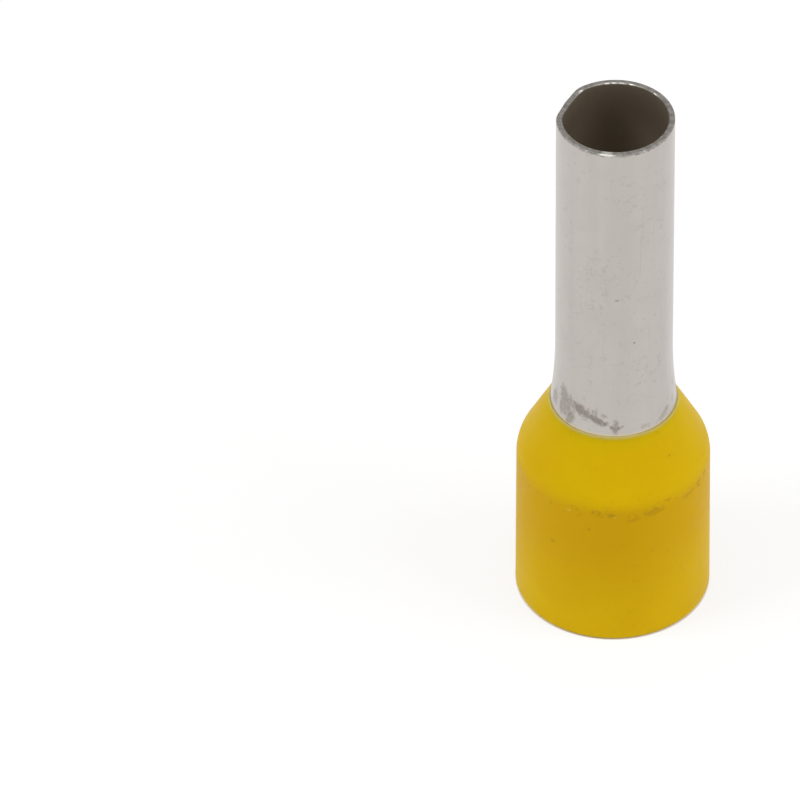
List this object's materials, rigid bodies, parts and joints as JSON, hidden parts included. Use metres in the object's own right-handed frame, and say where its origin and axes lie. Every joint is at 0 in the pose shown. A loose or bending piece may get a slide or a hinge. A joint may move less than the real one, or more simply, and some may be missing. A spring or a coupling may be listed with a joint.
{
  "type": "insulated wire ferrule",
  "caption": "Insulated crimp ferrule: a thin tinned sleeve whose flared foot is held in a yellow plastic collar, for ending a stranded wire.",
  "frame": {"origin": "centre of the collar's rim, on the face that the ferrule stands on", "axes": "+Z runs along the sleeve from the collar's rim to the open mouth; X and Y are any two directions across it"},
  "size_m": [0.0066, 0.0066, 0.02],
  "materials": {
    "tinned_copper": "matt tin plate on drawn copper, with fine lengthwise drawing marks",
    "yellow_polypropylene": "smooth waxy moulded polypropylene, slightly glossy"
  },
  "bodies": {
    "root": {"metal_sleeve": "tinned_copper", "plastic_collar": "yellow_polypropylene"}
  },
  "joints": []
}
